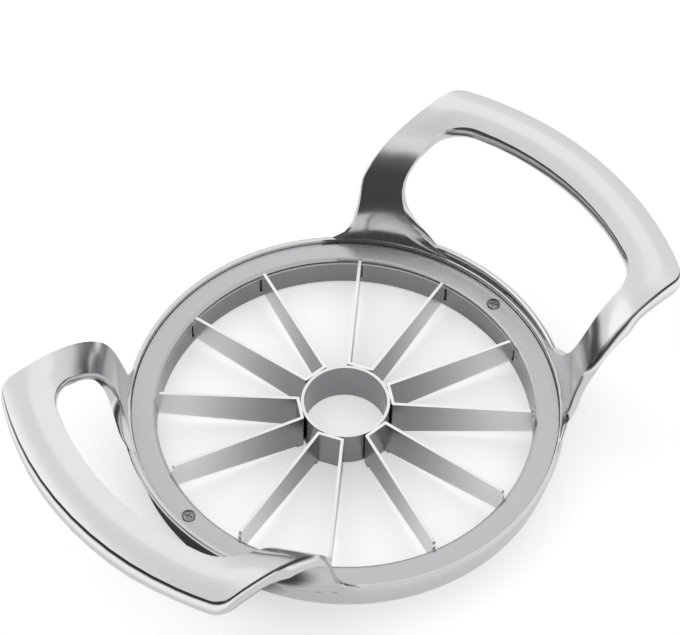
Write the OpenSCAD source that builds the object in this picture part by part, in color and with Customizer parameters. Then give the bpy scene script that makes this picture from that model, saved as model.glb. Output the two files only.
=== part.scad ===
// Twelve-wedge apple slicer and corer, pressed down by two raised loop handles.
// Millimetres, +Z up. The origin is on the cutting ring's axis, on the table.
// The handles point along +X and -X. The cutting edges are at the bottom.

/* [Node to show] */

// One node's name, or all of them

/* [Cutting ring] */

// Inside radius of the ring, where the wedges come through
ring_inner_r = 48.6; // [42:0.1:56]
// Width of the ring's foot, from its inner wall to its outer edge on the table
ring_foot_w = 6.0; // [4.5:0.1:9]
// Height of the rim above the table
rim_h = 10.2; // [8.5:0.1:14]
// How far the outer wall leans out from the foot to the rim
wall_lean = 1.75; // [0.5:0.05:3]
// Width of the bead around the clamp ring
rim_bead_w = 1.35; // [1:0.05:3]
// Rounding of the rim's outer edge
rim_round = 0.55; // [0.2:0.05:1]
// Chamfer of the foot's two edges
foot_chamfer = 0.6; // [0.2:0.1:1.2]

/* [Clamp ring] */

// Thickness of the ring that holds the blades down
clamp_t = 1.5; // [1:0.1:3]
// How far the clamp ring lies below the rim's top
clamp_drop = 1.15; // [0.3:0.05:2]
// Rounding of the clamp ring's inner edge
clamp_round = 0.9; // [0.2:0.1:1.4]

/* [Blades] */

// Thickness of the blade strip
blade_t = 0.8; // [0.5:0.05:1.5]
// Height of the blade at the hub
blade_h_hub = 11.6; // [10:0.1:16]
// Height of the blade at the ring
blade_h_ring = 8.6; // [7.5:0.1:13]
// Height of the cutting edges above the table, at the hub
blade_lift = 0.1; // [0.1:0.1:1.5]
// How much higher a cutting edge lies at the ring than at the hub
blade_rise = 2.5; // [1.6:0.1:3.5]
// How much the two legs of a strip lean towards each other, as an angle
leg_lean = 1.2; // [0:0.1:1.6]
// Height of the sharpened part of a cutting edge
edge_h = 1.6; // [0.5:0.1:3]
// Flat left on a cutting edge
edge_flat = 0.12; // [0.05:0.01:0.3]
// Distance from a strip's bend to where the sharpening starts
edge_from = 1.6; // [1:0.1:4]
// Rounding of a blade's upper corner at the ring
blade_corner_r = 1.1; // [0.3:0.1:2]
// How far a blade's tab reaches into its slot in the ring
tab_reach = 2.2; // [1.2:0.1:3.5]

/* [Core tube] */

// Outside radius of the tube that cuts the core
core_r = 11.45; // [8:0.05:16]
// Wall of the core tube
core_wall = 0.8; // [0.5:0.05:2]
// Chamfer of the core tube's cutting edge
core_edge = 0.55; // [0.2:0.05:0.7]

/* [Handles] */

// Radius of the grip's outer edge
grip_outer_r = 86.5; // [82:0.5:100]
// Width of the grip bar
grip_w = 11.4; // [9:0.1:15]
// Height of the grip's top face
grip_top = 42.1; // [34:0.1:60]
// Half the handle's width, over both arms
arm_half_w = 42.2; // [40:0.1:44]
// Width of an arm
arm_w = 8.0; // [6.5:0.1:10]
// How much an arm's foot stands nearer the middle than its upper end
arm_draw = 1.5; // [0:0.1:2.5]
// How much an arm widens towards the handle's middle where it leaves the ring
arm_root_in = 15; // [4:0.5:17]
// How much an arm widens round the ring where it leaves it
arm_root_out = 3.4; // [0:0.2:5]
// Height above the rim over which an arm's outer side runs into the ring
arm_root_h = 6; // [4:0.5:9]
// Height above the rim of the wall between the two arms
root_wall_h = 2.7; // [1:0.1:4]
// Thickness of an arm where it climbs
arm_t = 2.9; // [2.5:0.1:5]
// Thickness of the grip bar
grip_t = 7.0; // [5:0.1:8]
// How much the grip bar is thicker than the handle's corners
grip_swell = 0.9; // [0:0.1:1.5]
// Rounding of the handle's outer corners
corner_out_r = 5.5; // [3:0.5:8]
// Rounding of the opening's outer corners
corner_in_r = 10.5; // [6:0.5:12]
// Depth of the sloping shoulder beside the top face
edge_shoulder = 0.8; // [0.4:0.1:1.4]
// How far the sides stand out beyond the top face
side_swell = 0.8; // [0.2:0.05:1.2]
// Rounding of the underside's edges
edge_under_r = 1.9; // [1:0.1:2.4]
// Rise of the top face's middle over its edges
crown = 0.25; // [0:0.05:0.6]
// How steeply the arms leave the ring, as the lean of the first stretch
rise_lean = 2.2; // [1:0.1:5]
// How far out the bend into the grip starts
bend_reach = 8.7; // [6:0.1:12]

/* [Screws] */

// Radius of a screw's shank
screw_r = 1.1; // [0.8:0.05:1.6]
// Length of a screw below its head
screw_len = 6.0; // [4:0.1:7]
// Radius of a screw's head
screw_head_r = 1.6; // [1.5:0.05:2]
// Height of a screw's head
screw_head_h = 0.75; // [0.5:0.05:1.2]
// Depth of the round seat that takes a screw's head
screw_sink = 0.7; // [0.3:0.05:0.9]

/* [Clearances] */

// Gap between the clamp ring and the rim
clamp_gap = 0.1; // [0.05:0.05:0.3]
// Gap on each side of a tab in its slot
slot_gap = 0.3; // [0.1:0.05:0.5]
// Gap under a tab in its slot
floor_gap = 0.1; // [0.05:0.05:0.3]
// Gap between a blade's end and the ring's inner wall
blade_gap = 0.25; // [0.1:0.05:0.6]
// Gap around a screw's shank in the ring
pilot_gap = 0.05; // [0.02:0.01:0.2]
// Gap around a screw's shank in the clamp ring
clamp_hole_gap = 0.2; // [0.1:0.05:0.5]
// Gap around a screw's head in its seat
head_gap = 0.28; // [0.1:0.02:0.4]

/* [Hidden] */

$fn = 96;

// The strips: six, each with two legs, so twelve blades at equal angles
pairs = 6;
leg_step = 360 / (2 * pairs);
leg_half = leg_step / 2;

// Ring section
foot_outer_r = ring_inner_r + ring_foot_w;
rim_outer_r = foot_outer_r + wall_lean;
rim_inner_r = rim_outer_r - rim_bead_w;
clamp_top = rim_h - clamp_drop;
seat_z = clamp_top - clamp_t;

// Blade section, measured from the axis
hub_chord = core_r + blade_t / 2;
hub_corner = hub_chord / cos(leg_half);
blade_end = ring_inner_r - blade_gap;
tab_end = ring_inner_r + tab_reach;
slot_end = tab_end + slot_gap;
slot_w = blade_t + 2 * slot_gap;
blade_top_hub = blade_lift + blade_h_hub;
blade_top_ring = blade_lift + blade_rise + blade_h_ring;
edge_slope = blade_rise / (blade_end - hub_corner - edge_from);
slot_floor = blade_lift + blade_rise - floor_gap;

// Screws stand on the middle of the clamp ring, between two blades
screw_at = (ring_inner_r + rim_inner_r) / 2 + 0.2;
screw_angles = [0, 180];

// Handle plan, for the half with +Y
grip_inner_r = grip_outer_r - grip_w;
arm_in = arm_half_w - arm_w;
in_cy = arm_in - corner_in_r;
in_cx = sqrt(pow(grip_inner_r - corner_in_r, 2) - in_cy * in_cy);
in_turn = atan2(in_cy, in_cx);
out_cy = arm_half_w - corner_out_r;
out_cx = sqrt(pow(grip_outer_r - corner_out_r, 2) - out_cy * out_cy);
out_turn = atan2(out_cy, out_cx);
fan_r = norm([in_cx, arm_in]);
fan_x = sqrt(fan_r * fan_r - arm_half_w * arm_half_w);

// Handle profile, radius against height: a curve from the rim up to the grip
p0 = [rim_inner_r + 0.5, rim_h - 0.3];
p1 = [p0[0] + rise_lean, rim_h + 0.69 * (grip_top - rim_h)];
p2 = [p0[0] + bend_reach, grip_top - 0.3];
p3 = [grip_outer_r - 4.5, grip_top];

function bez(a, b, c, d, t) =
    a * pow(1 - t, 3) + 3 * b * t * pow(1 - t, 2) + 3 * c * t * t * (1 - t) + d * pow(t, 3);
function top_at(t) = bez(p0, p1, p2, p3, t);
function bez_slope(a, b, c, d, t) =
    3 * (b - a) * pow(1 - t, 2) + 6 * (c - b) * t * (1 - t) + 3 * (d - c) * t * t;
// The curve's parameter where its radius is r
function t_of(r, lo = 0, hi = 1, n = 22) =
    n == 0 ? (lo + hi) / 2
    : top_at((lo + hi) / 2)[0] < r ? t_of(r, (lo + hi) / 2, hi, n - 1)
    : t_of(r, lo, (lo + hi) / 2, n - 1);
// Beyond the curve the grip falls away a little
fall = 0.02;
function z_of(r) = r >= p3[0] ? p3[1] - fall * pow(r - p3[0], 2) : top_at(t_of(r))[1];
function tilt_of(r) =
    r >= p3[0] ? atan(-2 * fall * (r - p3[0]))
    : let (s = bez_slope(p0, p1, p2, p3, t_of(r))) atan2(s[1], s[0]);

// Handle section: across from the opening's side, down from the top face.
// Each side runs from the top face over a shoulder to its widest line, then under.
function mix2(a, b, f) = a + (b - a) * f;
function outer_side(t, h, s) =
    let (b = min(edge_under_r, 0.5 * t))
    [[0, 0], [0.38 * s, 0.38 * h], [0.8 * s, h], [s, 0.44 * t],
     [0.82 * s, 0.74 * t], [0.3 * s, 0.91 * t], [-b, t]];
// A thick grip is cut back under the opening's side
function inner_side(t, h, s) =
    let (b = min(edge_under_r, 0.5 * t), f = max(0, min(1, (t - 4.6) / 2.1)), n = s * (1 - 0.6 * f))
    [[0, 0], [0.38 * n, 0.38 * h], [0.8 * n, h], [n, 0.42 * t],
     mix2([0.82 * s, 0.74 * t], [-0.3, 0.62 * t], f),
     mix2([0.3 * s, 0.91 * t], [-1.6, 0.84 * t], f), mix2([-b, t], [-3.2, t], f)];
function section(w, t, c = crown) =
    let (h = min(edge_shoulder, 0.26 * t), s = side_swell * min(1, 0.3 + 0.7 * t / grip_t),
         outer = outer_side(t, h, s), inner = inner_side(t, h, s))
    concat(
        [[0.3 * w, -0.8 * c], [0.5 * w, -c], [0.7 * w, -0.8 * c]],
        [for (q = outer) [w + q[0], q[1]]],
        [[0.68 * w, t], [0.5 * w, t], [0.36 * w, t]],
        [for (k = [len(inner) - 1 : -1 : 0]) [-inner[k][0], inner[k][1]]]);
section_n = 20;

// A point d below the top face, over a plan point
function under(x, y, z, tilt, d) =
    let (r = norm([x, y])) [
        x + d * sin(tilt) * x / r,
        y + d * sin(tilt) * y / r,
        z - d * cos(tilt)];
// The grip's sides stand upright, the arms' follow the climb
function lean_of(r) =
    max(0, tilt_of(r)) * (1 - max(0, min(1, (r - fan_r) / (grip_inner_r - fan_r))));

// Arm stations follow circles about the axis, from the ring up to the corner
function ease(v) = let (u = max(0, min(1, v))) u * u * (3 - 2 * u);
function drawn(z) = arm_draw * ease((grip_top - 9 - z) / 13);
function half_in(z) =
    arm_in - drawn(z) - arm_root_in * pow(max(0, min(1, (grip_top - 8 - z) / (grip_top - 8 - rim_h))), 3.5);
function flare(z) = pow(max(0, min(1, (rim_h + arm_root_h - z) / arm_root_h)), 3);
function half_out(z) = arm_half_w - drawn(z) + arm_root_out * flare(z);
function thin(u, f) = 1 - 0.75 * f * max(0, (u - 0.78) / 0.22, (0.4 - u) / 0.4);
function arm_ring(r, z, tilt, t) =
    let (ai = asin(half_in(z) / r), ao = asin(half_out(z) / r), f = ease((rim_h + 6 - z) / 6),
         w = (ao - ai) * PI / 180 * r)
    [for (q = section(w, t, crown * (1 - f)))
        let (a = ai + (ao - ai) * q[0] / w)
        under(r * cos(a), r * sin(a), z, tilt, q[1] * thin(q[0] / w, f))];

// Inside the ring the arm narrows to a tongue, so that its back flares out of the wall
root_steps = 3;
function root_ring(k) =
    let (f = k / root_steps, s = bez_slope(p0, p1, p2, p3, 0))
    arm_ring(p0[0] - 0.35 * (1 - f), p0[1] - (1 - f) * 3.9,
             atan2(s[1], s[0]), 0.4 + 1.9 * f * f);

arm_steps = 14;
fan_t = t_of(fan_r);
function arm_step(k) =
    let (t = fan_t * pow(k / arm_steps, 1.15), p = top_at(t), s = bez_slope(p0, p1, p2, p3, t))
    arm_ring(p[0], p[1], atan2(s[1], s[0]), thick(p[0]) * (1 - 0.26 * flare(p[1])));
function thick(r) = arm_t + (grip_t - grip_swell - arm_t) * ease((r - 60.5) / (grip_inner_r - 60.5));

// Corner stations run between a point of the opening's edge and one of the outer edge
function span_ring(a, b, more = 0) =
    let (w = norm(b - a), u = (b - a) / w, t = thick(norm(a)) + more)
    [for (q = section(w, t))
        let (p = a + u * q[0], r = norm(p)) under(p[0], p[1], z_of(r), lean_of(r), q[1])];

straight_steps = 6;
turn_steps = 6;
arc_steps = 2;
fan_steps = straight_steps + turn_steps + arc_steps;
function fan_out(k) =
    k <= straight_steps
    ? [fan_x + (out_cx - fan_x) * k / straight_steps, arm_half_w]
    : k <= straight_steps + turn_steps
    ? let (a = 90 - (90 - out_turn) * (k - straight_steps) / turn_steps)
      [out_cx + corner_out_r * cos(a), out_cy + corner_out_r * sin(a)]
    : let (a = out_turn + (in_turn - out_turn) * (k - straight_steps - turn_steps) / arc_steps)
      [grip_outer_r * cos(a), grip_outer_r * sin(a)];
function fan_in(k) =
    let (a = 90 - (90 - in_turn) * k / fan_steps)
    [in_cx + corner_in_r * cos(a), in_cy + corner_in_r * sin(a)];

// Grip stations are radial
grip_steps = 5;
function grip_ring(k) =
    let (a = in_turn * (1 - k / grip_steps))
    span_ring([grip_inner_r * cos(a), grip_inner_r * sin(a)],
              [grip_outer_r * cos(a), grip_outer_r * sin(a)], grip_swell * ease(2 * k / grip_steps));

half_rings = concat(
    [for (k = [0 : root_steps - 1]) root_ring(k)],
    [for (k = [0 : arm_steps - 1]) arm_step(k)],
    [for (k = [0 : fan_steps - 1]) span_ring(fan_in(k), fan_out(k))],
    [for (k = [0 : grip_steps]) grip_ring(k)]);
half_n = len(half_rings);
// The other half mirrors the first
loop_rings = concat(
    half_rings,
    [for (k = [half_n - 2 : -1 : 0]) [for (p = half_rings[k]) [p[0], -p[1], p[2]]]]);
loop_n = len(loop_rings);

module handle_loop() {
    n = section_n;
    points = [for (ring = loop_rings) for (p = ring) p];
    skin = [for (k = [0 : loop_n - 2], j = [0 : n - 1])
        let (a = k * n + j, b = k * n + (j + 1) % n)
        each [[a, b, b + n], [a, b + n, a + n]]];
    last = (loop_n - 1) * n;
    start_cap = [for (j = [1 : n - 2]) [0, j + 1, j]];
    end_cap = [for (j = [1 : n - 2]) [last, last + j, last + j + 1]];
    polyhedron(points, concat(skin, start_cap, end_cap), convexity = 6);
}

// Between the arms' roots the ring's wall stands above the rim
module root_wall() {
    top = rim_h + root_wall_h;
    half = asin(half_in(top) / rim_outer_r) + 7;
    rotate([0, 0, -half])
        rotate_extrude(angle = 2 * half)
            polygon([
                [rim_outer_r - 1.2, 0.5 * rim_h],
                [rim_outer_r - 0.55, 0.66 * rim_h],
                [rim_outer_r + 0.1, 0.86 * rim_h],
                [rim_outer_r + 0.75, rim_h + 0.2 * root_wall_h],
                [rim_outer_r + 1.1, top - 0.9],
                [rim_outer_r + 0.95, top - 0.35],
                [rim_outer_r + 0.6, top - 0.06],
                [rim_outer_r + 0.2, top],
                [rim_outer_r - 0.3, top - 0.2],
                [rim_outer_r - 0.55, top - 0.7],
                [p0[0] + 0.1, rim_h],
                [p0[0] + 0.1, rim_h - 1.5]]);
}

module ring_body() {
    rotate_extrude()
        polygon([
            [ring_inner_r, foot_chamfer],
            [ring_inner_r + foot_chamfer, 0],
            [foot_outer_r - foot_chamfer, 0],
            [foot_outer_r, foot_chamfer],
            [rim_outer_r, rim_h - 2 * rim_round],
            [rim_outer_r - 0.08, rim_h - rim_round],
            [rim_outer_r - 0.3 * rim_round, rim_h - 0.3 * rim_round],
            [rim_outer_r - rim_round, rim_h],
            [rim_inner_r + 0.3 * rim_round, rim_h],
            [rim_inner_r, rim_h - 0.3 * rim_round],
            [rim_inner_r, seat_z],
            [ring_inner_r, seat_z]]);
}

// Puts its child at a strip's bend, with +X along the leg on that side
module along_leg(index, side) {
    rotate([0, 0, leg_step + 2 * leg_step * (index - 1) + side * leg_half])
        translate([hub_corner, 0, 0])
            rotate([0, 0, -side * leg_lean])
                children();
}

module blade_slots() {
    for (index = [1 : pairs], side = [-1, 1])
        along_leg(index, side)
            translate([ring_inner_r - 1 - hub_corner, -slot_w / 2, slot_floor])
                cube([slot_end - ring_inner_r + 1, slot_w, rim_h]);
}

module screw_holes(r, z0, z1) {
    for (a = screw_angles)
        rotate([0, 0, a])
            translate([screw_at, 0, z0])
                cylinder(h = z1 - z0, r = r, $fn = 48);
}

module frame() {
    color("gainsboro")
        difference() {
            union() {
                ring_body();
                for (a = [0, 180])
                    rotate([0, 0, a]) {
                        handle_loop();
                        root_wall();
                    }
            }
            blade_slots();
            screw_holes(screw_r + pilot_gap, seat_z - screw_len + clamp_t - 0.4, seat_z + 1);
        }
}

module clamp_ring() {
    color("silver")
        difference() {
            translate([0, 0, seat_z])
                rotate_extrude()
                    polygon([
                        [ring_inner_r, 0],
                        [rim_inner_r - clamp_gap, 0],
                        [rim_inner_r - clamp_gap, clamp_t - 0.1],
                        [rim_inner_r - clamp_gap - 0.1, clamp_t],
                        [ring_inner_r + 1.6 * clamp_round, clamp_t],
                        [ring_inner_r + 0.8 * clamp_round, clamp_t - 0.18 * clamp_round],
                        [ring_inner_r + 0.25 * clamp_round, clamp_t - 0.5 * clamp_round],
                        [ring_inner_r, clamp_t - clamp_round]]);
            screw_holes(screw_r + clamp_hole_gap, seat_z - 1, rim_h);
            screw_holes(screw_head_r + head_gap, clamp_top - screw_sink, rim_h);
        }
}

module core_tube() {
    color("silver")
        translate([0, 0, blade_lift])
            rotate_extrude()
                polygon([
                    [core_r - core_wall, 0],
                    [core_r - core_wall + 0.15, 0],
                    [core_r, core_edge],
                    [core_r, blade_h_hub],
                    [core_r - core_wall, blade_h_hub]]);
}

// The strip's side view, radius against height, with the tab that the ring holds
module blade_side() {
    rotate_extrude()
        polygon(concat(
            [[core_r - 1, 0], [tab_end, 0],
             [tab_end, seat_z], [blade_end, seat_z],
             [blade_end, clamp_top + 0.2], [blade_end - 0.35, clamp_top + 0.45]],
            [for (a = [0 : 15 : 90]) [
                blade_end - 0.1 + blade_corner_r * (cos(a) - 1),
                blade_top_ring + blade_corner_r * (sin(a) - 1)]],
            [[hub_corner, blade_top_hub], [core_r - 1, blade_top_hub]]));
}

// A bent strip from above, in the pair's own directions: +X runs between its legs
module strip_plan() {
    g = leg_half - leg_lean;
    t2 = blade_t / 2;
    corner = [hub_chord, hub_corner * sin(leg_half)];
    along = [cos(g), sin(g)];
    away = [-sin(g), cos(g)];
    reach = tab_end - hub_corner + 1;
    inner = t2 * (1 - sin(g)) / cos(g);
    half = concat(
        [corner + inner * along - t2 * away, corner + reach * along - t2 * away,
         corner + reach * along + t2 * away],
        [for (k = [0 : 4]) let (a = 90 + g + (90 - g) * k / 4) corner + t2 * [cos(a), sin(a)]]);
    polygon(concat(half, [for (k = [len(half) - 1 : -1 : 0]) [half[k][0], -half[k][1]]]));
}

// What the grinding takes off under a leg: its edge climbs towards the ring
module edge_cut() {
    w = blade_t / 2 + 0.3;
    translate([edge_from, 0, blade_lift])
        rotate([0, -atan(edge_slope), 0])
            rotate([90, 0, 90])
                linear_extrude(tab_end)
                    polygon([
                        [-w, edge_h * 1.2], [-blade_t / 2 - 0.05, edge_h * 1.2],
                        [-edge_flat / 2, 0], [edge_flat / 2, 0],
                        [blade_t / 2 + 0.05, edge_h * 1.2], [w, edge_h * 1.2],
                        [w, -4], [-w, -4]]);
}

// One bent strip: two legs joined by a flat across the core tube
module blade_pair(index) {
    color("lightgray")
        intersection() {
            blade_side();
            difference() {
                rotate([0, 0, leg_step + 2 * leg_step * (index - 1)])
                    translate([0, 0, blade_lift])
                        linear_extrude(blade_h_hub)
                            strip_plan();
                for (side = [-1, 1])
                    along_leg(index, side) edge_cut();
            }
        }
}

module blade_pair_1() { blade_pair(1); }
module blade_pair_2() { blade_pair(2); }
module blade_pair_3() { blade_pair(3); }
module blade_pair_4() { blade_pair(4); }
module blade_pair_5() { blade_pair(5); }
module blade_pair_6() { blade_pair(6); }

module clamp_screw() {
    rotate_extrude($fn = 48)
        polygon([
            [0, -screw_len], [0.6 * screw_r, -screw_len], [screw_r, 0.5 - screw_len],
            [screw_r, 0], [screw_head_r, 0], [screw_head_r, 0.45 * screw_head_h],
            [0.93 * screw_head_r, 0.72 * screw_head_h],
            [0.72 * screw_head_r, 0.93 * screw_head_h],
            [0.4 * screw_head_r, screw_head_h], [0, screw_head_h]]);
}

module clamp_screws() {
    color("gray")
        for (a = screw_angles)
            rotate([0, 0, a])
                translate([screw_at, 0, clamp_top - screw_sink])
                    clamp_screw();
}

frame();
clamp_ring();
core_tube();
blade_pair_1();
blade_pair_2();
blade_pair_3();
blade_pair_4();
blade_pair_5();
blade_pair_6();
clamp_screws();
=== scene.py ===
"""Studio scene of a hand slicer with twelve blades and a core tube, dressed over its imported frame.

Everything is in metres, in the frame's own axes: the cutting ring stands on z = 0 round the
origin, and the two loop handles point along +X and -X.
"""

import logging
import math
from dataclasses import dataclass
from enum import Enum

import bmesh
import bpy
from mathutils import Matrix, Vector


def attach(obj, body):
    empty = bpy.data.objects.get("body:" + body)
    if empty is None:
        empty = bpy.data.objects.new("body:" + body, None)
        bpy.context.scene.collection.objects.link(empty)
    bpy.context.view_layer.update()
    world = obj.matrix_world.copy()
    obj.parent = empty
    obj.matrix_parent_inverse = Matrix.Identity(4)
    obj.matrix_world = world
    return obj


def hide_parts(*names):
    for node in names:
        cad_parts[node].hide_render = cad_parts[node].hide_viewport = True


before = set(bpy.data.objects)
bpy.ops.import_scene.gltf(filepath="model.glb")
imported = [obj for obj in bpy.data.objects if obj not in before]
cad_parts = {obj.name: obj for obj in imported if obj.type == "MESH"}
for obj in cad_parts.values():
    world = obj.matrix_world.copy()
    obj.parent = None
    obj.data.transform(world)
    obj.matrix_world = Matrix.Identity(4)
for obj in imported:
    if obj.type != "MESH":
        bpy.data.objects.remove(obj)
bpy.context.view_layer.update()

LOG = logging.getLogger("slicer")
MM = 0.001
WHITE = (1, 1, 1, 1)

MERGE_DISTANCE = 0.5e-6
SLIVER_LENGTH = 0.2e-6
SEAM_DISTANCE = 0.1e-6
LARGE_FACE_WEIGHT = 60

Tree = bpy.types.NodeTree
Socket = bpy.types.NodeSocket
Value = Socket | float | tuple[float, ...]
Tone = tuple[float, float, float]
Span = tuple[float, float]
Pairs = tuple[tuple[float, float], ...]


class Slot(Enum):
    """The record's material slots."""

    CASTING = "cast_metal"
    CLAMP = "clamp_steel"
    BLADE = "blade_steel"
    SCREW = "screw_steel"


class Grain(Enum):
    """Which way the fine lines of a metal run."""

    TURNED = "turned"
    RADIAL = "radial"


# --------------------------------------------------------------------------------------
# Node helpers


def place(tree: Tree, kind: str, x: float, y: float, **values: object) -> bpy.types.Node:
    """Adds a node and sets its own options.

    Args:
        tree: The tree that gets the node.
        kind: The node's type name.
        x: Where it lies across the editor.
        y: Where it lies up the editor.
        **values: Options of the node, by name.

    Returns:
        The new node.
    """
    node = tree.nodes.new(kind)
    node.location = (x, y)
    for name, value in values.items():
        setattr(node, name, value)
    return node


def feed(tree: Tree, socket: Socket, value: Value) -> None:
    """Gives an input its value, by a link from an output or as a constant on the input itself.

    Args:
        tree: The tree that holds the input.
        socket: The input.
        value: An output of the same tree, a number or a colour.
    """
    if isinstance(value, Socket):
        tree.links.new(value, socket)
    else:
        socket.default_value = value


def calc(tree: Tree, x: float, y: float, operation: str, *values: Value,
         clamp: bool = False) -> Socket:
    """Adds a Math node.

    Args:
        tree: The tree that gets the node.
        x: Where it lies across the editor.
        y: Where it lies up the editor.
        operation: What it works out.
        *values: Its inputs, in order.
        clamp: Whether the result is kept between 0 and 1.

    Returns:
        The result.
    """
    node = place(tree, "ShaderNodeMath", x, y, operation=operation, use_clamp=clamp)
    for socket, value in zip(node.inputs, values):
        feed(tree, socket, value)
    return node.outputs[0]


def remap(tree: Tree, x: float, y: float, value: Value, span: tuple[Value, Value],
          to: tuple[Value, Value] = (0.0, 1.0), smooth: bool = True) -> Socket:
    """Adds a Map Range node.

    Args:
        tree: The tree that gets the node.
        x: Where it lies across the editor.
        y: Where it lies up the editor.
        value: What is mapped.
        span: Where the change starts and ends.
        to: The results before and after it.
        smooth: Whether the change is eased at both ends.

    Returns:
        The result.
    """
    curve = "SMOOTHSTEP" if smooth else "LINEAR"
    node = place(tree, "ShaderNodeMapRange", x, y, interpolation_type=curve)
    feed(tree, node.inputs["Value"], value)
    for name, given in zip(("From Min", "From Max", "To Min", "To Max"), (*span, *to)):
        feed(tree, node.inputs[name], given)
    return node.outputs[0]


def blend(tree: Tree, x: float, y: float, share: Socket, first: Value, second: Value,
          kind: str = "RGBA") -> Socket:
    """Adds a Mix node.

    Args:
        tree: The tree that gets the node.
        x: Where it lies across the editor.
        y: Where it lies up the editor.
        share: How much of the second value shows.
        first: The value at a share of 0.
        second: The value at a share of 1.
        kind: The kind of value that is mixed.

    Returns:
        The mixed value.
    """
    node = place(tree, "ShaderNodeMix", x, y, data_type=kind)
    for name, given in (("Factor", share), ("A", first), ("B", second)):
        feed(tree, node.inputs[name], given)
    return node.outputs["Result"]


def noise(tree: Tree, x: float, y: float, spot: Socket, scale: Value, detail: float,
          roughness: float = 0.5, distortion: float = 0.0) -> Socket:
    """Adds a Noise Texture node.

    Args:
        tree: The tree that gets the node.
        x: Where it lies across the editor.
        y: Where it lies up the editor.
        spot: The coordinates that it reads.
        scale: How close its pattern is.
        detail: How many finer layers it has.
        roughness: How strong the finer layers are.
        distortion: How far the pattern is dragged.

    Returns:
        The pattern, from 0 to 1.
    """
    node = place(tree, "ShaderNodeTexNoise", x, y)
    settings = {"Vector": spot, "Scale": scale, "Detail": detail,
                "Roughness": roughness, "Distortion": distortion}
    for name, value in settings.items():
        feed(tree, node.inputs[name], value)
    return node.outputs["Fac"]


def ramp(tree: Tree, x: float, y: float, value: Socket, stops: Pairs) -> Socket:
    """Adds a grey colour ramp.

    Args:
        tree: The tree that gets the node.
        x: Where it lies across the editor.
        y: Where it lies up the editor.
        value: What the ramp reads.
        stops: Pairs of place and grey value, in order.

    Returns:
        The grey.
    """
    node = place(tree, "ShaderNodeValToRGB", x, y)
    elements = node.color_ramp.elements
    elements[0].position, elements[0].color = stops[0][0], (*[stops[0][1]] * 3, 1)
    elements[1].position, elements[1].color = stops[-1][0], (*[stops[-1][1]] * 3, 1)
    for spot, grey in stops[1:-1]:
        elements.new(spot).color = (grey, grey, grey, 1)
    feed(tree, node.inputs[0], value)
    return node.outputs[0]


def axes(tree: Tree, x: float, y: float, spot: Socket) -> bpy.types.NodeOutputs:
    """Splits coordinates or a direction into its outputs X, Y and Z.

    Args:
        tree: The tree that gets the node.
        x: Where it lies across the editor.
        y: Where it lies up the editor.
        spot: What is split.

    Returns:
        The three outputs, by name.
    """
    node = place(tree, "ShaderNodeSeparateXYZ", x, y)
    feed(tree, node.inputs[0], spot)
    return node.outputs


def axis_distance(tree: Tree, x: float, y: float, spot: Socket) -> Socket:
    """Measures how far a point lies from the upright axis of the ring.

    Args:
        tree: The tree that gets the nodes.
        x: Where the first lies across the editor.
        y: Where they lie up the editor.
        spot: The point's coordinates.

    Returns:
        The distance.
    """
    flat = place(tree, "ShaderNodeVectorMath", x, y, operation="MULTIPLY")
    feed(tree, flat.inputs[0], spot)
    feed(tree, flat.inputs[1], (1, 1, 0))
    length = place(tree, "ShaderNodeVectorMath", x + 180, y, operation="LENGTH")
    feed(tree, length.inputs[0], flat.outputs[0])
    return length.outputs["Value"]


def new_group(name: str, inputs: dict[str, float], outputs: list[str]) -> Tree:
    """Starts a shader node group whose sockets are all numbers.

    Args:
        name: The group's name.
        inputs: Names and defaults of the inputs.
        outputs: Names of the outputs.

    Returns:
        The group's tree, with its input and output nodes placed.
    """
    tree = bpy.data.node_groups.new(name, "ShaderNodeTree")
    for label, default in inputs.items():
        socket = tree.interface.new_socket(
            name=label, in_out="INPUT", socket_type="NodeSocketFloat")
        socket.default_value = default
    for label in outputs:
        tree.interface.new_socket(name=label, in_out="OUTPUT", socket_type="NodeSocketFloat")
    place(tree, "NodeGroupInput", -1200, 0)
    place(tree, "NodeGroupOutput", 600, 0)
    return tree


def use_group(tree: Tree, x: float, y: float, group: Tree,
              values: dict[str, float]) -> bpy.types.NodeOutputs:
    """Places a shared node group in a material, with that material's own values.

    Args:
        tree: The material's tree.
        x: Where it lies across the editor.
        y: Where it lies up the editor.
        group: The group's tree.
        values: The material's values, by the input's name.

    Returns:
        The group's outputs, by name.
    """
    node = place(tree, "ShaderNodeGroup", x, y, node_tree=group)
    for label, value in values.items():
        node.inputs[label].default_value = value
    return node.outputs


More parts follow.
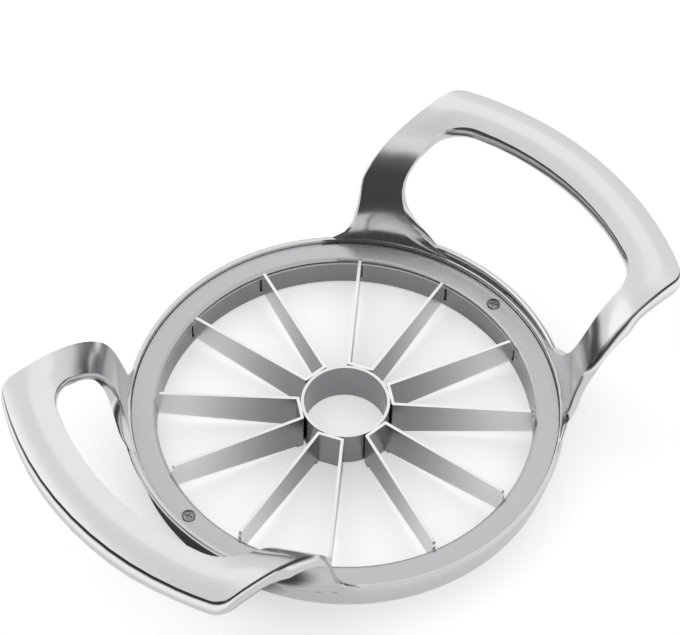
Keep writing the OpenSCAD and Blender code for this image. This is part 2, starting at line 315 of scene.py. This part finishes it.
class Effects:
    """The node groups that several finishes share.

    The length of an arc is taken at arc_radius. The broad streaks are broad_step times as wide
    as the fine lines, and the smears lie smear_step times as close as the clouding. The two
    smear_edges are the noise values at which a smear starts and is full.
    """

    arc_radius: float = 0.05
    broad_step: float = 9.0
    smear_step: float = 5.5
    smear_edges: Span = (0.42, 0.66)

    def __init__(self) -> None:
        """Builds each group once."""
        self.grain = {way: self._grain(way) for way in Grain}
        self.handling = self._handling()
        self.hub_shade = self._hub_shade()
        self.upward = self._upward()

    def _grain(self, way: Grain) -> Tree:
        """Builds the fine lines left by a belt or a lathe.

        Args:
            way: Which way the lines run.

        Returns:
            A group with inputs Lines and Stretch and outputs Fine and Broad.
        """
        tree = new_group(
            f"grain_{way.value}", {"Lines": 9000.0, "Stretch": 60.0}, ["Fine", "Broad"])
        source, sink = tree.nodes["Group Input"], tree.nodes["Group Output"]
        coords = place(tree, "ShaderNodeTexCoord", -1200, -250).outputs["Object"]
        spot = axes(tree, -1000, -250, coords)
        radius = axis_distance(tree, -1000, -450, coords)
        angle = calc(tree, -820, -620, "ARCTAN2", spot["Y"], spot["X"])
        arc = calc(tree, -640, -620, "MULTIPLY", angle, self.arc_radius)
        along, *across = {
            Grain.TURNED: (arc, radius, spot["Z"]),
            Grain.RADIAL: (radius, spot["Z"], arc),
        }[way]
        slow = calc(tree, -440, -150, "DIVIDE", along, source.outputs["Stretch"])
        packed = place(tree, "ShaderNodeCombineXYZ", -260, -250)
        for socket, value in zip(packed.inputs, (slow, *across)):
            feed(tree, socket, value)
        lines = source.outputs["Lines"]
        fine = noise(tree, -60, 0, packed.outputs[0], lines, detail=2.0)
        feed(tree, sink.inputs["Fine"], fine)
        wide = calc(tree, -260, -450, "DIVIDE", lines, self.broad_step)
        broad = noise(tree, -60, -350, packed.outputs[0], wide, detail=3.0)
        feed(tree, sink.inputs["Broad"], broad)
        return tree

    def _handling(self) -> Tree:
        """Builds the faint smears and dulled patches from hands and washing.

        Returns:
            A group with input Size and outputs Smear and Cloud.
        """
        tree = new_group("handling", {"Size": 45.0}, ["Smear", "Cloud"])
        source, sink = tree.nodes["Group Input"], tree.nodes["Group Output"]
        coords = place(tree, "ShaderNodeTexCoord", -1000, -200).outputs["Object"]
        size = source.outputs["Size"]
        cloud = noise(tree, -600, 100, coords, size, detail=4.0, roughness=0.55)
        feed(tree, sink.inputs["Cloud"], cloud)
        close = calc(tree, -800, -100, "MULTIPLY", size, self.smear_step)
        smear = noise(tree, -600, -200, coords, close, detail=5.0, distortion=1.4)
        start, full = self.smear_edges
        shaped = ramp(tree, -300, -200, smear, ((start, 0.0), (full, 1.0)))
        feed(tree, sink.inputs["Smear"], shaped)
        return tree

    def _hub_shade(self) -> Tree:
        """Builds a painted shade towards the hub, where the blades stand close and see each other.

        Returns:
            A group with inputs Shade, From and To and output Level, which rises from Shade
            at the radius From to 1 at the radius To.
        """
        tree = new_group("hub_shade", {"Shade": 0.4, "From": 0.016, "To": 0.05}, ["Level"])
        source, sink = tree.nodes["Group Input"], tree.nodes["Group Output"]
        coords = place(tree, "ShaderNodeTexCoord", -1000, -200).outputs["Object"]
        radius = axis_distance(tree, -800, -200, coords)
        span = (source.outputs["From"], source.outputs["To"])
        level = remap(tree, -300, 0, radius, span, (source.outputs["Shade"], 1.0))
        feed(tree, sink.inputs["Level"], level)
        return tree

    def _upward(self) -> Tree:
        """Builds the mask of the faces that look straight up.

        Returns:
            A group with inputs Start and Full and output Mask. Both inputs are heights of the
            face's normal.
        """
        tree = new_group("upward", {"Start": 0.75, "Full": 0.95}, ["Mask"])
        source, sink = tree.nodes["Group Input"], tree.nodes["Group Output"]
        normal = place(tree, "ShaderNodeNewGeometry", -1000, -200).outputs["True Normal"]
        height = axes(tree, -800, -200, normal)["Z"]
        mask = remap(tree, -300, 0, height, (source.outputs["Start"], source.outputs["Full"]))
        feed(tree, sink.inputs["Mask"], mask)
        return tree


# --------------------------------------------------------------------------------------
# Finishes


@dataclass(frozen=True)
class PaintedHubShade:
    """A painted shade: how much a finish darkens towards the hub, and between which two radii."""

    level: float
    start: float
    end: float


@dataclass(frozen=True)
class PaintedTopHighlight:
    """A painted highlight on the narrow faces that look straight up."""

    tone: float
    start: float = 0.75
    full: float = 0.95


@dataclass(frozen=True)
class MetalFinish:
    """A metal surface with its grain, its dulling and its fine relief.

    The colours are linear; the two tones are mixed by the broad grain and the clouding.
    """

    name: str
    tone: Tone
    second_tone: Tone
    grain: Grain
    lines: float
    stretch: float
    gloss_floor: float
    gloss_span: float
    relief: float
    smear_size: float = 45.0
    line_share: float = 0.45
    # Painted shade towards the hub and a painted highlight on the upward faces, where a finish has
    # them.
    painted_hub_shade: PaintedHubShade | None = None
    top: PaintedTopHighlight | None = None

    def make(self, effects: Effects) -> bpy.types.Material:
        """Builds the material.

        Args:
            effects: The shared node groups.

        Returns:
            The finished material.
        """
        material = bpy.data.materials.new(self.name)
        material.use_nodes = True
        material.diffuse_color = (*self.tone, 1)
        tree = material.node_tree
        shader = tree.nodes["Principled BSDF"]
        shader.inputs["Metallic"].default_value = 1.0
        grain = use_group(tree, -900, 100, effects.grain[self.grain],
                          {"Lines": self.lines, "Stretch": self.stretch})
        hands = use_group(tree, -900, -200, effects.handling, {"Size": self.smear_size})
        share = calc(tree, -650, 250, "MULTIPLY", grain["Broad"], hands["Cloud"])
        colour = blend(tree, -450, 250, share, (*self.tone, 1), (*self.second_tone, 1))
        # Painted shade towards the hub.
        if self.painted_hub_shade is not None:
            colour = self._paint_hub_shade(tree, effects, colour)
        # Painted highlight on the faces that look up.
        if self.top is not None:
            colour = self._paint_top_highlight(tree, effects, colour)
        feed(tree, shader.inputs["Base Color"], colour)
        dulled = calc(tree, -650, 0, "MULTIPLY_ADD",
                      grain["Fine"], self.line_share, hands["Smear"])
        rough = remap(tree, -450, 0, dulled, (0.0, 1.0 + self.line_share),
                      (self.gloss_floor, self.gloss_floor + self.gloss_span), smooth=False)
        feed(tree, shader.inputs["Roughness"], rough)
        bump = place(tree, "ShaderNodeBump", -250, -250)
        bump.inputs["Strength"].default_value = 1.0
        bump.inputs["Distance"].default_value = self.relief
        feed(tree, bump.inputs["Height"], grain["Fine"])
        feed(tree, shader.inputs["Normal"], bump.outputs[0])
        return material

    def _paint_hub_shade(self, tree: Tree, effects: Effects, colour: Socket) -> Socket:
        """Paints shade on a colour towards the hub.

        Args:
            tree: The material's tree.
            effects: The shared node groups.
            colour: The colour that gets the painted shade.

        Returns:
            The colour with its painted shade.
        """
        values = {"Shade": self.painted_hub_shade.level, "From": self.painted_hub_shade.start, "To": self.painted_hub_shade.end}
        level = use_group(tree, -650, 500, effects.hub_shade, values)["Level"]
        deep = place(tree, "ShaderNodeVectorMath", -260, 400, operation="SCALE")
        feed(tree, deep.inputs[0], colour)
        feed(tree, deep.inputs["Scale"], level)
        return deep.outputs[0]

    def _paint_top_highlight(self, tree: Tree, effects: Effects, colour: Socket) -> Socket:
        """Paints a highlight on the faces that look straight up.

        Args:
            tree: The material's tree.
            effects: The shared node groups.
            colour: The colour of the rest.

        Returns:
            The colour with its painted highlight.
        """
        values = {"Start": self.top.start, "Full": self.top.full}
        mask = use_group(tree, -650, 750, effects.upward, values)["Mask"]
        return blend(tree, -60, 450, mask, colour, (*[self.top.tone] * 3, 1))


# The casting's hub shade is painted shade on the ring's inner wall, for the dark blades and hub that
# it reflects.
CHROME = MetalFinish(
    "polished_casting", (0.78, 0.78, 0.79), (0.75, 0.75, 0.76), Grain.TURNED,
    lines=1500.0, stretch=30.0, gloss_floor=0.16, gloss_span=0.03, relief=0.0000003,
    smear_size=22.0, painted_hub_shade=PaintedHubShade(0.38, 0.0489, 0.0500))
SATIN = MetalFinish(
    "satin_clamp_ring", (0.58, 0.58, 0.59), (0.56, 0.56, 0.57), Grain.TURNED,
    lines=2200.0, stretch=150.0, gloss_floor=0.27, gloss_span=0.02, relief=0.0000001)
# The blades' hub shade is painted shade where they see each other and the tube; their top tone is a
# painted highlight.
BLADE = MetalFinish(
    "ground_blade", (0.92, 0.92, 0.93), (0.87, 0.87, 0.89), Grain.RADIAL,
    lines=5000.0, stretch=60.0, gloss_floor=0.22, gloss_span=0.05, relief=0.0000008,
    painted_hub_shade=PaintedHubShade(0.40, 0.016, 0.050), top=PaintedTopHighlight(0.92))
# The tube's top tone is a painted highlight on its faces that look up.
TUBE = MetalFinish(
    "ground_tube", (0.36, 0.36, 0.37), (0.30, 0.30, 0.31), Grain.TURNED,
    lines=5000.0, stretch=60.0, gloss_floor=0.20, gloss_span=0.05, relief=0.0000008,
    top=PaintedTopHighlight(0.85))
SCREW = MetalFinish(
    "plated_screw", (0.36, 0.36, 0.37), (0.26, 0.26, 0.27), Grain.TURNED,
    lines=9000.0, stretch=30.0, gloss_floor=0.18, gloss_span=0.10, relief=0.000002)


# --------------------------------------------------------------------------------------
# Meshes


def smooth_up_to(bm: bmesh.types.BMesh, angle: float) -> None:
    """Shades a mesh smooth and keeps its harder edges sharp.

    Args:
        bm: The mesh.
        angle: Edges sharper than this many degrees stay sharp.
    """
    for face in bm.faces:
        face.smooth = True
    for edge in bm.edges:
        paired = len(edge.link_faces) == 2
        edge.smooth = paired and edge.calc_face_angle(0.0) < math.radians(angle)


def add_object(bm: bmesh.types.BMesh, name: str) -> bpy.types.Object:
    """Turns a finished bmesh into an object of the scene, at the origin.

    Args:
        bm: The finished bmesh, which is freed.
        name: The name of the object and of its mesh.

    Returns:
        The new object.
    """
    mesh = bpy.data.meshes.new(name)
    bm.to_mesh(mesh)
    bm.free()
    piece = bpy.data.objects.new(name, mesh)
    bpy.context.scene.collection.objects.link(piece)
    return piece


def merged_copy(node: str, name: str, angle: float, even: bool = True) -> bpy.types.Object:
    """Copies a CAD node, merges its loose triangles and smooths it up to an angle.

    Args:
        node: The CAD node's name.
        name: The new piece's name.
        angle: Edges sharper than this many degrees stay sharp.
        even: Whether the larger faces hold their own normals.

    Returns:
        The new object, at the origin.
    """
    bm = bmesh.new()
    bm.from_mesh(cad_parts[node].data)
    bmesh.ops.remove_doubles(bm, verts=bm.verts, dist=MERGE_DISTANCE)
    bmesh.ops.dissolve_degenerate(bm, edges=bm.edges, dist=SLIVER_LENGTH)
    smooth_up_to(bm, angle)
    piece = add_object(bm, name)
    if even:
        even_shading(piece)
    return piece


def even_shading(piece: bpy.types.Object) -> None:
    """Lets the larger faces hold their own normals, so that only narrow ones shade round.

    Args:
        piece: The piece that gets the modifier.
    """
    shading = piece.modifiers.new("even_shading", "WEIGHTED_NORMAL")
    shading.mode = "FACE_AREA"
    shading.weight = LARGE_FACE_WEIGHT
    shading.keep_sharp = True


def open_edges(verts: list[bmesh.types.BMVert]) -> list[bmesh.types.BMEdge]:
    """Lists the edges with one face at some vertices, always in the same order."""
    edges = dict.fromkeys(edge for vert in verts for edge in vert.link_edges)
    return [edge for edge in edges if len(edge.link_faces) == 1]


def settle(piece: bpy.types.Object, material: bpy.types.Material, slot: Slot,
           *nodes: str) -> bpy.types.Object:
    """Dresses a piece, sets it on the frame's body and lets it stand for its CAD nodes.

    Args:
        piece: The new piece.
        material: Its material.
        slot: The record's slot of that finish; not used.
        *nodes: The CAD nodes that it stands for.

    Returns:
        The same piece.
    """
    piece.data.materials.clear()
    piece.data.materials.append(material)
    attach(piece, "root")
    if nodes:
        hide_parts(*nodes)
    LOG.info("%s: %d faces", piece.name, len(piece.data.polygons))
    return piece


@dataclass
class Casting:
    """The ring and both loop handles, one polished casting."""

    crease: float = 28.0

    def build(self, effects: Effects) -> None:
        """Makes the smooth casting and dresses it."""
        piece = merged_copy("frame", "casting", self.crease, even=False)
        settle(piece, CHROME.make(effects), Slot.CASTING, "frame")


@dataclass
class ClampRing:
    """The flat ring that holds the blades down."""

    crease: float = 24.0

    def build(self, effects: Effects) -> None:
        """Makes the clamp ring and dresses it."""
        piece = merged_copy("clamp_ring", "clamp_ring_satin", self.crease)
        settle(piece, SATIN.make(effects), Slot.CLAMP, "clamp_ring")


@dataclass
class Cutter:
    """The core tube and the six bent strips round it."""

    strips: int = 6
    crease: float = 24.0

    def build(self, effects: Effects) -> None:
        """Makes the tube and the strips and dresses them.

        Args:
            effects: The shared node groups.
        """
        tube = merged_copy("core_tube", "core_tube_ground", self.crease)
        settle(tube, TUBE.make(effects), Slot.BLADE, "core_tube")
        steel = BLADE.make(effects)
        for number in range(1, self.strips + 1):
            node = f"blade_pair_{number}"
            strip = merged_copy(node, f"{node}_ground", self.crease)
            settle(strip, steel, Slot.BLADE, node)


@dataclass
class Screws:
    """The two cross-head screws of the clamp ring.

    The dome is in shares of the head's radius and height, from its flat top to its side. The
    point and the cross are narrower at their low ends, by the shares point_share and
    cross_share.
    """

    stand: float = 52.0 * MM
    seat: float = 8.35 * MM
    shank_radius: float = 1.1 * MM
    length: float = 6.0 * MM
    point_length: float = 0.5 * MM
    point_share: float = 0.6
    head_radius: float = 1.6 * MM
    head_height: float = 0.75 * MM
    dome: Pairs = ((0.72, 0.93), (0.93, 0.72), (1.0, 0.45))
    cross_reach: float = 0.98 * MM
    cross_half: float = 0.21 * MM
    cross_depth: float = 0.42 * MM
    cross_share: float = 0.8
    turn: float = 28.0
    facets: int = 40
    crease: float = 38.0

    @property
    def crown(self) -> float:
        """The height of the head's flat top above its seat."""
        return self.dome[0][1] * self.head_height

    def build(self, effects: Effects) -> None:
        """Makes the screws and dresses them.

        Args:
            effects: The shared node groups.
        """
        bm = bmesh.new()
        for side in (0.0, 180.0):
            self._screw(bm, side)
        smooth_up_to(bm, self.crease)
        piece = add_object(bm, "screws")
        settle(piece, SCREW.make(effects), Slot.SCREW, "clamp_screws")

    def _screw(self, bm: bmesh.types.BMesh, side: float) -> None:
        """Adds one screw to a mesh.

        Args:
            bm: The mesh that gets it.
            side: Its angle round the ring, in degrees.
        """
        known = set(bm.verts)
        self._body(bm)
        body = [vert for vert in bm.verts if vert not in known]
        bmesh.ops.remove_doubles(bm, verts=body, dist=SEAM_DISTANCE)
        body = [vert for vert in bm.verts if vert not in known]
        top = open_edges(body)
        cross = self._cross(bm)
        bmesh.ops.triangle_fill(bm, use_beauty=True, use_dissolve=False, edges=top + cross)
        self._recess(bm, cross)
        made = [vert for vert in bm.verts if vert not in known]
        bmesh.ops.rotate(bm, verts=made, cent=(0, 0, 0),
                         matrix=Matrix.Rotation(math.radians(self.turn), 3, "Z"))
        bmesh.ops.translate(bm, verts=made, vec=(self.stand, 0.0, self.seat))
        bmesh.ops.rotate(bm, verts=made, cent=(0, 0, 0),
                         matrix=Matrix.Rotation(math.radians(side), 3, "Z"))
        faces = dict.fromkeys(face for vert in made for face in vert.link_faces)
        bmesh.ops.recalc_face_normals(bm, faces=list(faces))

    def _body(self, bm: bmesh.types.BMesh) -> None:
        """Turns the head and the shank on their axis, with the head's top left open.

        Args:
            bm: The mesh that gets them.
        """
        head, shank, tip = self.head_radius, self.shank_radius, -self.length
        outline = [(across * head, up * self.head_height) for across, up in self.dome]
        outline += [(head, 0.0), (shank, 0.0), (shank, tip + self.point_length),
                    (self.point_share * shank, tip), (0.0, tip)]
        line = [bm.verts.new((x, 0.0, z)) for x, z in outline]
        edges = [bm.edges.new(pair) for pair in zip(line, line[1:])]
        bmesh.ops.spin(bm, geom=line + edges, axis=(0, 0, 1), cent=(0, 0, 0),
                       steps=self.facets, angle=math.tau, use_merge=True)

    def _cross(self, bm: bmesh.types.BMesh) -> list[bmesh.types.BMEdge]:
        """Adds the outline of the cross that the driver fits, at the top of the head.

        Args:
            bm: The mesh that gets it.

        Returns:
            The outline's edges, in order.
        """
        half, reach = self.cross_half, self.cross_reach
        quarter = [(reach, -half), (reach, half), (half, half)]
        spots = []
        for step in range(4):
            spin = Matrix.Rotation(math.radians(90 * step), 3, "Z")
            spots += [spin @ Vector((x, y, self.crown)) for x, y in quarter]
        verts = [bm.verts.new(spot) for spot in spots]
        return [bm.edges.new((verts[k], verts[(k + 1) % len(verts)])) for k in range(len(verts))]

    def _recess(self, bm: bmesh.types.BMesh, cross: list[bmesh.types.BMEdge]) -> None:
        """Sinks the cross into the head, with leaning walls and a flat floor.

        Args:
            bm: The mesh that holds the cross.
            cross: The cross's outline.
        """
        walls = bmesh.ops.extrude_edge_only(bm, edges=cross)["geom"]
        deep = [item for item in walls if isinstance(item, bmesh.types.BMVert)]
        for vert in deep:
            vert.co = Vector((vert.co.x * self.cross_share, vert.co.y * self.cross_share,
                              self.crown - self.cross_depth))
        bmesh.ops.triangle_fill(bm, use_beauty=True, use_dissolve=False, edges=open_edges(deep))


# --------------------------------------------------------------------------------------
# Studio


@dataclass
class Viewpoint:
    """The camera, at the photograph's viewing angle. Its angles are in degrees."""

    target: tuple[float, float, float] = (0.023016, 0.028293, 0.0)
    azimuth: float = -42.025
    elevation: float = 51.693
    roll: float = 1.144
    distance: float = 0.79907
    lens: float = 158.54
    sensor: float = 36.0
    clip: Span = (0.05, 20.0)

    def build(self) -> None:
        """Makes the camera, aims it and gives it to the scene."""
        data = bpy.data.cameras.new("view")
        data.sensor_width = self.sensor
        data.lens = self.lens
        data.clip_start, data.clip_end = self.clip
        eye = bpy.data.objects.new("view", data)
        bpy.context.scene.collection.objects.link(eye)
        az, el, tilt = (math.radians(v) for v in (self.azimuth, self.elevation, self.roll))
        back = Vector((math.sin(az) * math.cos(el), -math.cos(az) * math.cos(el), math.sin(el)))
        right = (-back).cross(Vector((0, 0, 1))).normalized()
        up = right.cross(-back)
        side = right * math.cos(tilt) + up * math.sin(tilt)
        top = up * math.cos(tilt) - right * math.sin(tilt)
        turn = Matrix((side, top, back)).transposed()
        eye.rotation_mode = "QUATERNION"
        eye.rotation_quaternion = turn.to_quaternion()
        eye.location = Vector(self.target) + back * self.distance
        bpy.context.scene.camera = eye


@dataclass(frozen=True)
class Band:
    """A band of the floor with soft edges, at the same distance on both sides of an axis."""

    axis: str
    middle: float
    half: float
    soft: float


@dataclass
class Floor:
    """A plain floor that keeps the shadow.

    The camera sees it white, lifted by its own glow. Reflections see painted shade instead: a
    grey that changes with the distance from the origin, given as pairs of radius and grey, and
    that is dark below the openings of the two handles.
    """

    size: float = 3.0
    sides: int = 96
    roughness: float = 0.9
    light_grey: float = 0.86
    dark_grey: float = 0.04
    lift: float = 0.44
    mirror_reach: float = 0.40
    # Painted shade that only reflections see, by radius and below the handles' openings.
    mirror_tones: Pairs = (
        (0.080, 0.75), (0.100, 0.66), (0.120, 1.0), (0.165, 1.0), (0.24, 0.35), (0.36, 0.05))
    opening: tuple[Band, Band] = (Band("X", 0.056, 0.004, 0.006), Band("Y", 0.0, 0.040, 0.008))
    painted_opening_shade: float = 0.06

    def build(self) -> None:
        """Lays the floor."""
        bm = bmesh.new()
        bmesh.ops.create_circle(bm, cap_ends=True, segments=self.sides, radius=self.size)
        ground = add_object(bm, "floor")
        ground.data.materials.append(self._material())

    def _material(self) -> bpy.types.Material:
        """Builds the floor's material.

        Returns:
            A matt grey that the camera, reflections and clear materials see lifted.
        """
        material = bpy.data.materials.new("floor_white")
        material.use_nodes = True
        tree = material.node_tree
        shader = tree.nodes["Principled BSDF"]
        shader.inputs["Roughness"].default_value = self.roughness
        shader.inputs["Specular IOR Level"].default_value = 0.0
        shader.inputs["Emission Color"].default_value = WHITE
        rays = place(tree, "ShaderNodeLightPath", -700, -100).outputs
        seen = calc(tree, -500, -100, "MAXIMUM", rays["Is Camera Ray"], rays["Is Glossy Ray"])
        either = calc(tree, -300, -100, "MAXIMUM", seen, rays["Is Transmission Ray"])
        coords = place(tree, "ShaderNodeTexCoord", -1300, -400).outputs["Object"]
        # Reflections see the floor with painted shade; the camera sees it white.
        painted_mirror_grey = calc(tree, -520, -560, "MULTIPLY",
                        self._near(tree, coords), self._painted_shade_under_handles(tree, coords))
        shown = blend(tree, -340, -400, rays["Is Camera Ray"], painted_mirror_grey, 1.0, kind="FLOAT")
        lifted = calc(tree, -120, -100, "MULTIPLY", either, self.lift)
        glow = calc(tree, 60, -100, "MULTIPLY", lifted, shown)
        feed(tree, shader.inputs["Emission Strength"], glow)
        base = blend(tree, -120, 250, shown,
                     (*[self.dark_grey] * 3, 1), (*[self.light_grey] * 3, 1))
        feed(tree, shader.inputs["Base Color"], base)
        return material

    def _near(self, tree: Tree, coords: Socket) -> Socket:
        """Finds the painted grey that reflections see at each distance from the origin.

        Args:
            tree: The floor material's tree.
            coords: Its coordinates.

        Returns:
            The grey.
        """
        reach = place(tree, "ShaderNodeVectorMath", -1100, -400, operation="LENGTH")
        feed(tree, reach.inputs[0], coords)
        share = calc(tree, -920, -400, "DIVIDE", reach.outputs["Value"], self.mirror_reach)
        stops = tuple((radius / self.mirror_reach, tone) for radius, tone in self.mirror_tones)
        return ramp(tree, -740, -400, share, stops)

    def _painted_shade_under_handles(self, tree: Tree, coords: Socket) -> Socket:
        """Paints shade below the openings of the two handles, which their inner sides reflect.

        Args:
            tree: The floor material's tree.
            coords: Its coordinates.

        Returns:
            A value that is low below the openings and 1 elsewhere.
        """
        spot = axes(tree, -1100, -800, coords)
        masks = []
        for row, band in enumerate(self.opening):
            y = -800 - 160 * row
            away = calc(tree, -940, y, "ABSOLUTE", spot[band.axis])
            off = calc(tree, -800, y, "SUBTRACT", away, band.middle)
            gap = calc(tree, -660, y, "ABSOLUTE", off)
            masks.append(remap(tree, -520, y, gap, (band.half, band.half + band.soft)))
        either = calc(tree, -340, -860, "MAXIMUM", *masks)
        return calc(tree, -200, -860, "MAXIMUM", either, self.painted_opening_shade)


@dataclass
class PaintedReflectionCard:
    """A dark upright card over the ring, a painted reflection of a dark room on the far arms.

    Only reflections see it, and only its +X face. It fades towards its top and its front.
    """

    x: float = 0.030
    low: float = 0.0125
    high: float = 0.052
    front: float = -0.038
    back: float = 0.085
    fade_up: Span = (0.034, 0.050)
    fade_front: float = 0.008
    grey: float = 0.03
    glow: float = 0.05

    def build(self) -> None:
        """Stands the card."""
        bm = bmesh.new()
        corners = ((self.front, self.low), (self.back, self.low),
                   (self.back, self.high), (self.front, self.high))
        bm.faces.new([bm.verts.new((self.x, y, z)) for y, z in corners])
        card = add_object(bm, "painted_reflection_flag")
        card.data.materials.append(self._material())

    def _material(self) -> bpy.types.Material:
        """Builds the card's material.

        Returns:
            A nearly black matt grey that is clear to everything but reflections.
        """
        material = bpy.data.materials.new("painted_reflection_card")
        material.use_nodes = True
        tree = material.node_tree
        shader, sink = tree.nodes["Principled BSDF"], tree.nodes["Material Output"]
        shader.inputs["Base Color"].default_value = (*[self.grey] * 3, 1)
        shader.inputs["Roughness"].default_value = 1.0
        shader.inputs["Specular IOR Level"].default_value = 0.0
        shader.inputs["Emission Color"].default_value = WHITE
        shader.inputs["Emission Strength"].default_value = self.glow
        coords = place(tree, "ShaderNodeTexCoord", -1100, 500).outputs["Object"]
        spot = axes(tree, -920, 500, coords)
        upper = remap(tree, -440, 500, spot["Z"], self.fade_up, (1.0, 0.0))
        edge = (self.front, self.front + self.fade_front)
        body = calc(tree, -240, 550, "MULTIPLY", upper, remap(tree, -440, 700, spot["Y"], edge))
        rays = place(tree, "ShaderNodeLightPath", -440, 250).outputs["Is Glossy Ray"]
        behind = place(tree, "ShaderNodeNewGeometry", -440, -100).outputs["Backfacing"]
        front_only = calc(tree, -240, 0, "SUBTRACT", rays, behind, clamp=True)
        dark = calc(tree, -100, 350, "MULTIPLY", body, front_only)
        clear = place(tree, "ShaderNodeBsdfTransparent", -300, 100)
        mix = place(tree, "ShaderNodeMixShader", 200, 200)
        for socket, value in zip(mix.inputs, (dark, clear.outputs[0], shader.outputs[0])):
            feed(tree, socket, value)
        feed(tree, sink.inputs["Surface"], mix.outputs[0])
        return material


@dataclass
class Room:
    """The room round the object, which the camera sees white.

    In reflections its grey follows the height of a direction, from 0 straight down to 1
    straight up. The height is raised towards +Y and lowered towards -X, and a paler wall
    stands in the quarter between +X and +Y.
    """

    tones: Pairs = (
        (0.49, 0.03), (0.56, 0.04), (0.604, 0.10), (0.671, 0.36),
        (0.735, 0.74), (0.87, 0.87), (0.94, 0.86), (1.0, 0.70))
    back_light: float = 0.60
    left_from: float = 0.30
    left_dark: float = 0.50
    wall_tone: float = 0.45
    wall_right: Span = (0.2, 0.8)
    wall_back: Span = (-0.1, 0.3)

    def build(self) -> None:
        """Makes the world and gives it to the scene."""
        world = bpy.data.worlds.new("room")
        bpy.context.scene.world = world
        world.use_nodes = True
        tree = world.node_tree
        background = tree.nodes["Background"]
        coords = place(tree, "ShaderNodeTexCoord", -1100, 0).outputs["Generated"]
        way = axes(tree, -920, 0, coords)
        grey = ramp(tree, -300, 0, self._height(tree, way), self.tones)
        room = calc(tree, -140, -200, "MAXIMUM", grey, self._wall(tree, way))
        rays = place(tree, "ShaderNodeLightPath", -500, 650).outputs["Is Camera Ray"]
        feed(tree, background.inputs["Color"], blend(tree, 0, 100, rays, room, WHITE))
        background.inputs["Strength"].default_value = 1.0

    def _height(self, tree: Tree, way: bpy.types.NodeOutputs) -> Socket:
        """Works out the height that a direction's grey is read at.

        Args:
            tree: The world's tree.
            way: The direction's outputs X, Y and Z.

        Returns:
            The height, raised towards +Y and lowered towards -X.
        """
        height = remap(tree, -740, 0, way["Z"], (-1.0, 1.0), smooth=False)
        inset = calc(tree, -740, 250, "ADD", way["X"], self.left_from)
        left = calc(tree, -600, 250, "MINIMUM", inset, 0.0)
        ahead = calc(tree, -740, 450, "MAXIMUM", way["Y"], 0.0)
        rest = calc(tree, -600, 450, "SUBTRACT", 1.0, height)
        glow = calc(tree, -440, 450, "MULTIPLY", ahead, rest)
        raised = calc(tree, -280, 450, "MULTIPLY_ADD", glow, self.back_light, height)
        return calc(tree, -440, 250, "MULTIPLY_ADD", left, self.left_dark, raised)

    def _wall(self, tree: Tree, way: bpy.types.NodeOutputs) -> Socket:
        """Works out the grey of the paler wall between +X and +Y.

        Args:
            tree: The world's tree.
            way: The direction's outputs X, Y and Z.

        Returns:
            The wall's grey, and 0 away from it.
        """
        right = remap(tree, -500, -250, way["X"], self.wall_right, (0.0, self.wall_tone))
        back = remap(tree, -500, -500, way["Y"], self.wall_back)
        return calc(tree, -300, -350, "MULTIPLY", right, back)


@dataclass(frozen=True)
class Lamp:
    """A soft round lamp."""

    name: str
    spot: tuple[float, float, float]
    size: float
    power: float

    def hang(self, aim: Vector) -> None:
        """Hangs the lamp and turns it towards a point.

        Args:
            aim: The point.
        """
        data = bpy.data.lights.new(self.name, "AREA")
        data.shape = "DISK"
        data.size = self.size
        data.energy = self.power
        lamp = bpy.data.objects.new(self.name, data)
        bpy.context.scene.collection.objects.link(lamp)
        lamp.location = self.spot
        lamp.rotation_mode = "QUATERNION"
        lamp.rotation_quaternion = (aim - Vector(self.spot)).to_track_quat("-Z", "Y")


@dataclass
class Studio:
    """The camera, the floor, the dark card, the room and the lamps."""

    aim: tuple[float, float, float] = (0.02, 0.02, 0.0)
    lamps: tuple[Lamp, ...] = (
        Lamp("key", (-0.55, 0.75, 0.95), 1.4, 1.5),
        Lamp("fill", (-0.9, -0.5, 0.7), 1.0, 0.2),
        Lamp("kicker", (0.66, 0.60, 1.0), 0.5, 0.10),
    )

    def build(self) -> None:
        """Sets the whole studio."""
        bpy.context.scene.view_settings.view_transform = "Standard"
        for part in (Viewpoint(), Floor(), PaintedReflectionCard(), Room()):
            part.build()
        for lamp in self.lamps:
            lamp.hang(Vector(self.aim))


def main() -> None:
    """Builds the slicer's pieces and its studio, in order."""
    logging.basicConfig(level=logging.INFO)
    effects = Effects()
    for part in (Casting(), ClampRing(), Cutter(), Screws()):
        part.build(effects)
    Studio().build()


if __name__ == "__main__":
    main()
